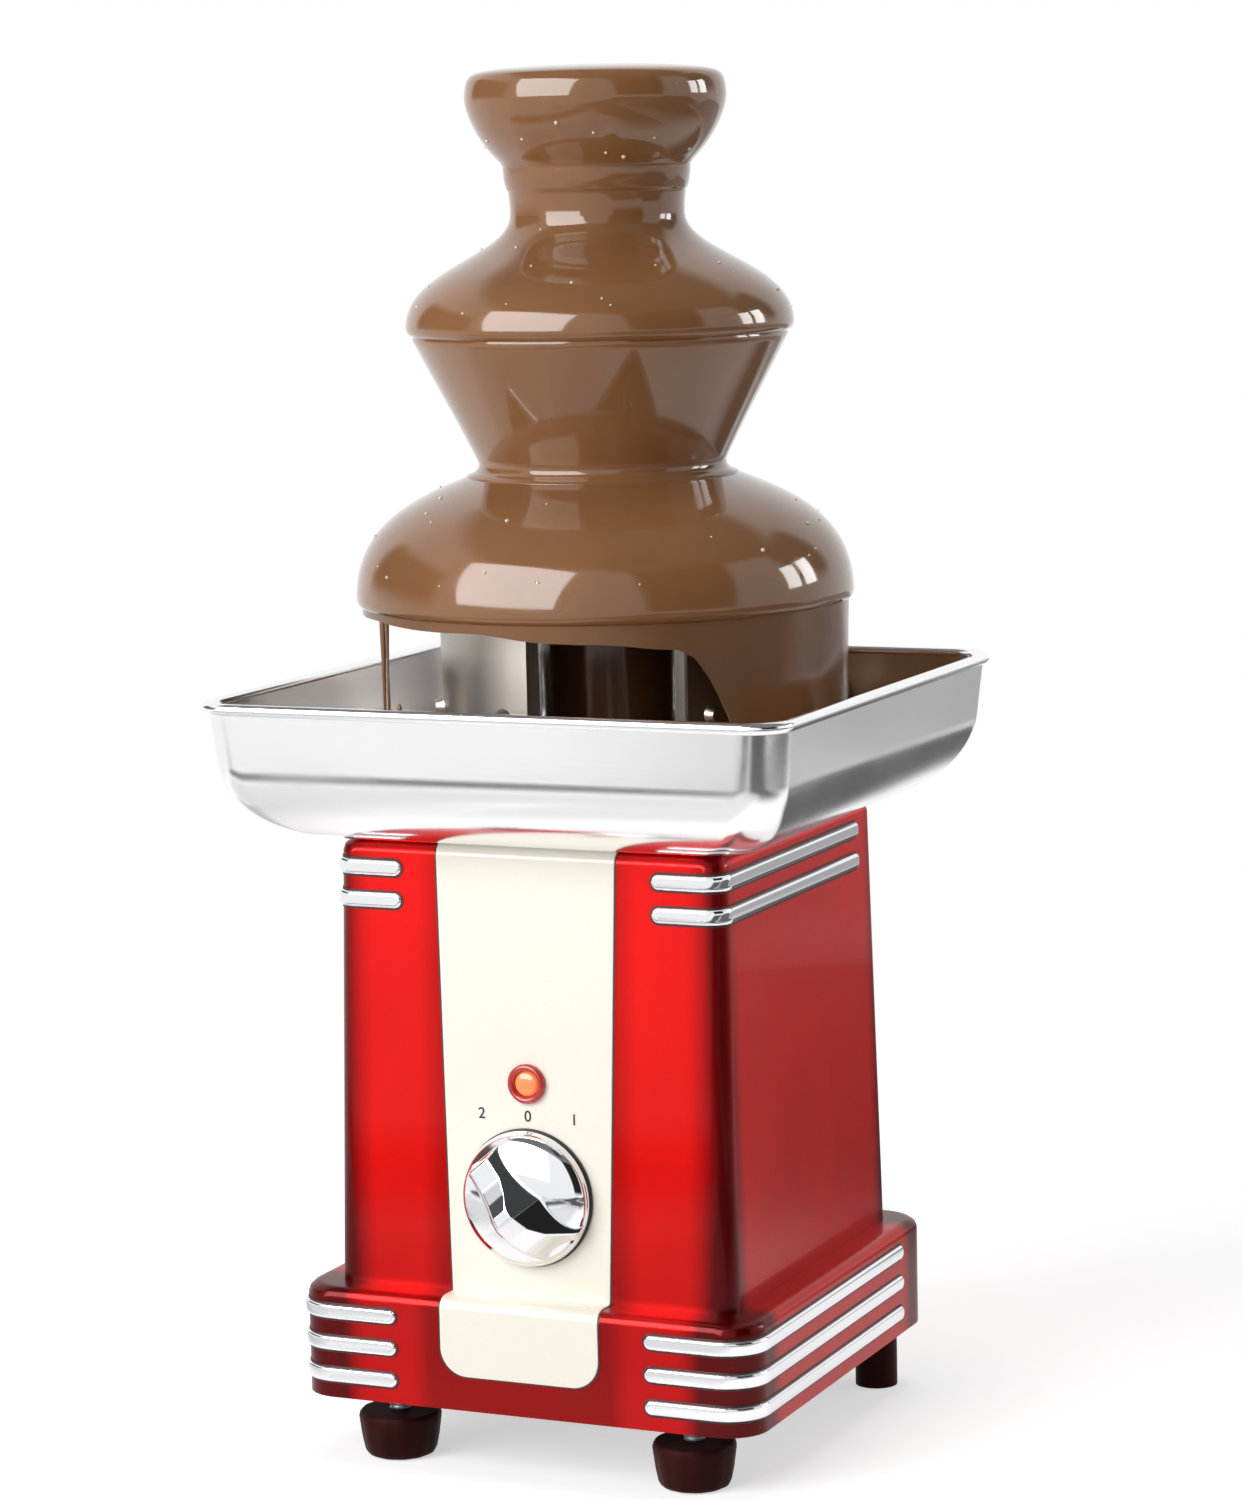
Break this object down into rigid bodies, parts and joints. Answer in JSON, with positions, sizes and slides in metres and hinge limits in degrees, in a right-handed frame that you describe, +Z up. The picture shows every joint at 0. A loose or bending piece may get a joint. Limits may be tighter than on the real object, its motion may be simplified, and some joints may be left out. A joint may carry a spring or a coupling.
{
  "type": "chocolate fountain",
  "caption": "Table-top chocolate fountain: red tapered housing with cream front panel and chrome bars, heated square steel bowl, lifting screw and stepped tower running with chocolate.",
  "frame": {"origin": "on the table plane under the tower's vertical axis, which is the middle of the bowl and of the bounding box", "axes": "+Z up along the tower's axis, -Y towards the front panel and knob, +X to the right seen from the front"},
  "size_m": [0.1746, 0.1746, 0.3861],
  "materials": {
    "red_shell": "gloss metallic red",
    "cream_panel": "gloss cream",
    "chrome": "mirror",
    "black_plastic": "matte",
    "rubber": "satin",
    "zinc_steel": "satin",
    "brass": "machined",
    "lamp_red": "gloss translucent",
    "lamp_amber": "gloss translucent",
    "bulb_glass": "clear",
    "white_plastic": "satin",
    "bowl_steel": "polished",
    "silicone": "matte",
    "heater_alloy": "cast satin",
    "element_sheath": "oxidised",
    "stator_iron": "laminated, lacquered",
    "coil_enamel": "enamelled wire, taped",
    "tower_steel": "satin",
    "chocolate": "liquid gloss"
  },
  "bodies": {
    "housing": {"plinth": "red_shell", "body_shell": "red_shell", "front_panel": "cream_panel", "bottom_plate": "black_plastic", "bottom_plate_screws": "zinc_steel", "body_screws": "zinc_steel", "upper_bars_left": "chrome", "upper_bars_right": "chrome", "lower_bars_left": "chrome", "lower_bars_right": "chrome", "foot_nuts": "brass", "rear_feet": "rubber", "rear_foot_screws": "zinc_steel", "switch_housing": "black_plastic", "switch_nut": "zinc_steel", "lamp_bezel": "lamp_red", "lamp_window": "lamp_amber", "lamp_bulb": "bulb_glass", "lamp_nut": "zinc_steel", "cord_gland": "black_plastic", "terminal_block": "white_plastic", "bowl": "bowl_steel", "bowl_gasket": "silicone", "bowl_studs": "zinc_steel", "bowl_nuts": "zinc_steel", "shaft_seal": "silicone", "heater_plate": "heater_alloy", "heating_element": "element_sheath", "thermostat": "white_plastic", "thermal_fuse": "element_sheath", "motor_bracket": "zinc_steel", "bracket_screws": "zinc_steel", "gear_case": "white_plastic", "shaft_bushes": "brass", "motor_stator": "stator_iron", "motor_coil": "coil_enamel", "motor_bridge": "zinc_steel", "motor_screws": "zinc_steel", "chocolate_pool": "chocolate"},
    "knob": {"knob": "chrome", "switch_shaft": "zinc_steel"},
    "drive": {"drive_shaft": "zinc_steel", "drive_pin": "zinc_steel", "output_gear": "white_plastic", "lifting_screw": "white_plastic"},
    "idler": {"idler_gear": "white_plastic"},
    "rotor": {"motor_rotor": "zinc_steel", "cooling_fan": "black_plastic"},
    "tower": {"tower_drum": "tower_steel", "lower_tier": "tower_steel", "upper_tier": "tower_steel", "crown": "tower_steel", "chocolate_crown": "chocolate", "chocolate_upper": "chocolate", "chocolate_lower": "chocolate"},
    "foot_left": {"front_foot_left": "rubber", "foot_stud_left": "zinc_steel"},
    "foot_right": {"front_foot_right": "rubber", "foot_stud_right": "zinc_steel"}
  },
  "joints": [
    {"name": "knob_turn", "type": "hinge", "parent": "housing", "child": "knob", "pos_m": [0, -0.05976, 0.0788], "axis": [0, 0.9998, -0.0191], "range_deg": [0, 118]},
    {"name": "auger_spin", "type": "hinge", "parent": "housing", "child": "drive", "pos_m": [0, 0, 0.14], "axis": [0, 0, 1], "continuous": true},
    {"name": "idler_spin", "type": "hinge", "parent": "housing", "child": "idler", "pos_m": [-0.02121, 0.02121, 0.14], "axis": [0, 0, 1], "continuous": true},
    {"name": "rotor_spin", "type": "hinge", "parent": "housing", "child": "rotor", "pos_m": [0.00379, 0.02121, 0.11], "axis": [0, 0, 1], "continuous": true},
    {"name": "tower_lift", "type": "slide", "parent": "housing", "child": "tower", "axis": [0, 0, 1], "range_m": [0, 0.2]},
    {"name": "foot_left_screw", "type": "slide", "parent": "housing", "child": "foot_left", "axis": [0, 0, -1], "range_m": [-0.003, 0.005]},
    {"name": "foot_right_screw", "type": "slide", "parent": "housing", "child": "foot_right", "axis": [0, 0, -1], "range_m": [-0.003, 0.005]}
  ],
  "couplings": [
    {"joint": "idler_spin", "follows": "auger_spin", "ratio": -4},
    {"joint": "rotor_spin", "follows": "auger_spin", "ratio": 16}
  ]
}
